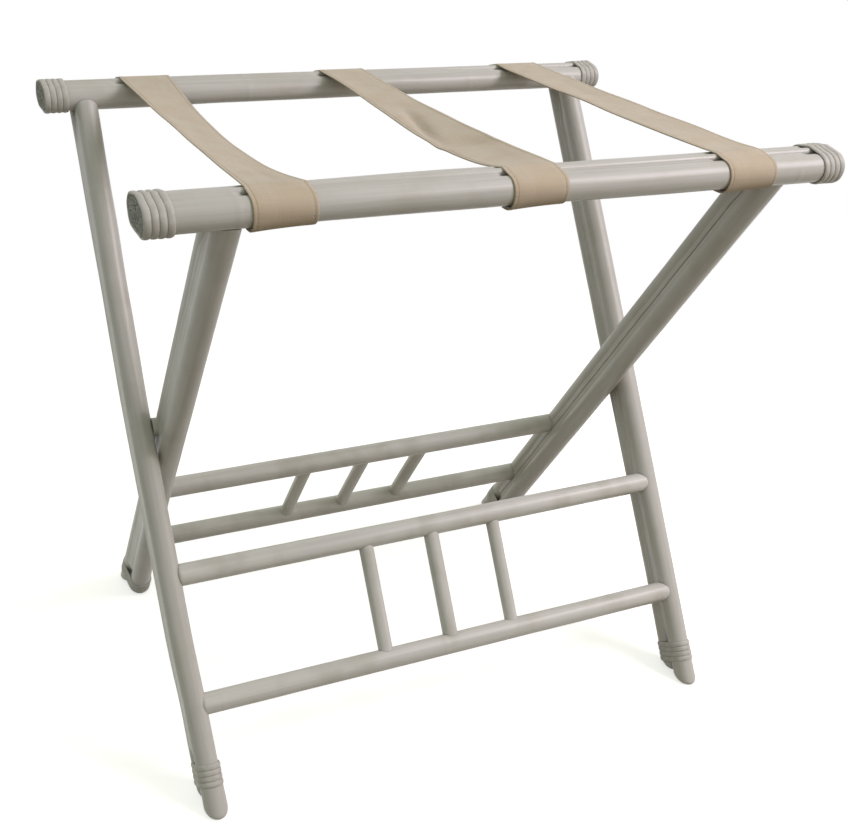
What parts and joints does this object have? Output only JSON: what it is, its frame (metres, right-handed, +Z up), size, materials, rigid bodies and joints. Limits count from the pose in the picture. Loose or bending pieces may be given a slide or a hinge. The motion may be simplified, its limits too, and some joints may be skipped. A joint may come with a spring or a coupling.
{
  "type": "folding luggage rack",
  "caption": "Folding luggage rack: crossed frames of painted rattan poles on pivot screws, double-pole rails with peel bindings, spindles, and canvas straps between the rails.",
  "frame": {"origin": "on the floor, midway between the four feet and under the middle of the rack", "axes": "+X to the right along the rails, +Y to the back (the outer frame's rail), +Z up"},
  "size_m": [0.644, 0.4526, 0.6083],
  "materials": {
    "painted_rattan": "satin off-white paint brushed over rattan poles",
    "painted_peel": "satin off-white paint over rattan peel",
    "zinc_steel": "zinc plated",
    "painted_nylon": "satin paint",
    "cotton_canvas": "woven cotton webbing, beige"
  },
  "bodies": {
    "outer_frame": {"outer_foot_bindings": "painted_peel", "outer_leg_left_under_pole": "painted_rattan", "outer_leg_left_upper_pole": "painted_rattan", "outer_leg_right_under_pole": "painted_rattan", "outer_leg_right_upper_pole": "painted_rattan", "outer_lower_stretcher": "painted_rattan", "outer_pivot_plugs": "painted_rattan", "outer_rail_back_pole": "painted_rattan", "outer_rail_bindings": "painted_peel", "outer_rail_front_pole": "painted_rattan", "outer_rail_reed": "painted_rattan", "outer_spindle_left": "painted_rattan", "outer_spindle_middle": "painted_rattan", "outer_spindle_right": "painted_rattan", "outer_upper_stretcher": "painted_rattan", "pivot_screws": "zinc_steel", "pivot_spacers": "painted_nylon", "strap_back_wraps": "cotton_canvas", "strap_left_span": "cotton_canvas", "strap_middle_span": "cotton_canvas", "strap_right_span": "cotton_canvas"},
    "inner_frame": {"inner_foot_bindings": "painted_peel", "inner_leg_left_under_pole": "painted_rattan", "inner_leg_left_upper_pole": "painted_rattan", "inner_leg_right_under_pole": "painted_rattan", "inner_leg_right_upper_pole": "painted_rattan", "inner_lower_stretcher": "painted_rattan", "inner_rail_back_pole": "painted_rattan", "inner_rail_bindings": "painted_peel", "inner_rail_front_pole": "painted_rattan", "inner_rail_reed": "painted_rattan", "inner_spindle_left": "painted_rattan", "inner_spindle_middle": "painted_rattan", "inner_spindle_right": "painted_rattan", "inner_upper_stretcher": "painted_rattan", "strap_front_wraps": "cotton_canvas"}
  },
  "joints": [
    {"name": "fold", "type": "hinge", "parent": "outer_frame", "child": "inner_frame", "pos_m": [0, 0, 0.315], "axis": [-1, 0, 0], "range_deg": [0, 48], "deforming": ["strap_left_span", "strap_middle_span", "strap_right_span"]}
  ]
}
